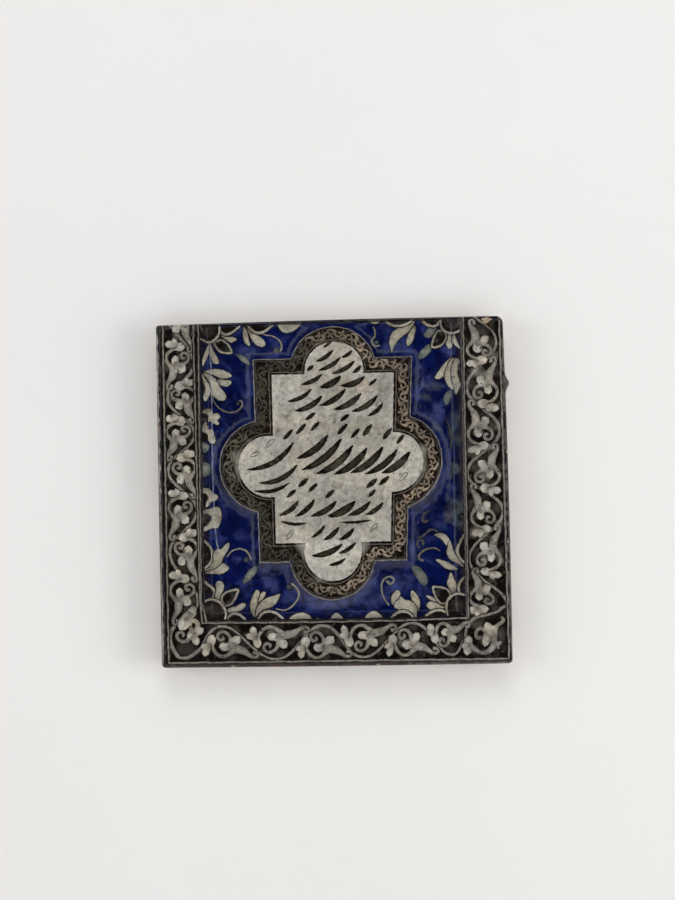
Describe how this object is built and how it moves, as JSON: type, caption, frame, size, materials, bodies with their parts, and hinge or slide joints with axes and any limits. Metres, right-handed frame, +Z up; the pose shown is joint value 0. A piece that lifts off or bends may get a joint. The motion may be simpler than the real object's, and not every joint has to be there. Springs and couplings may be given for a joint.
{
  "type": "moulded ceramic wall tile",
  "caption": "Near-square glazed relief wall tile: scroll border open at the head, blue flowered field, and a raised lobed cartouche whose pale panel holds dark brush strokes.",
  "frame": {"origin": "centre of the flat back, where the tile is bedded on its wall", "axes": "+Z up along the wall, -Y out of the face towards the viewer, +X to the viewer's right"},
  "size_m": [0.2051, 0.02, 0.2021],
  "materials": {
    "painted_glaze": "clear glossy glaze over cobalt blue, grey-white and near-black painting, on a moulded buff body"
  },
  "bodies": {
    "root": {"relief_tile": "painted_glaze"}
  },
  "joints": []
}
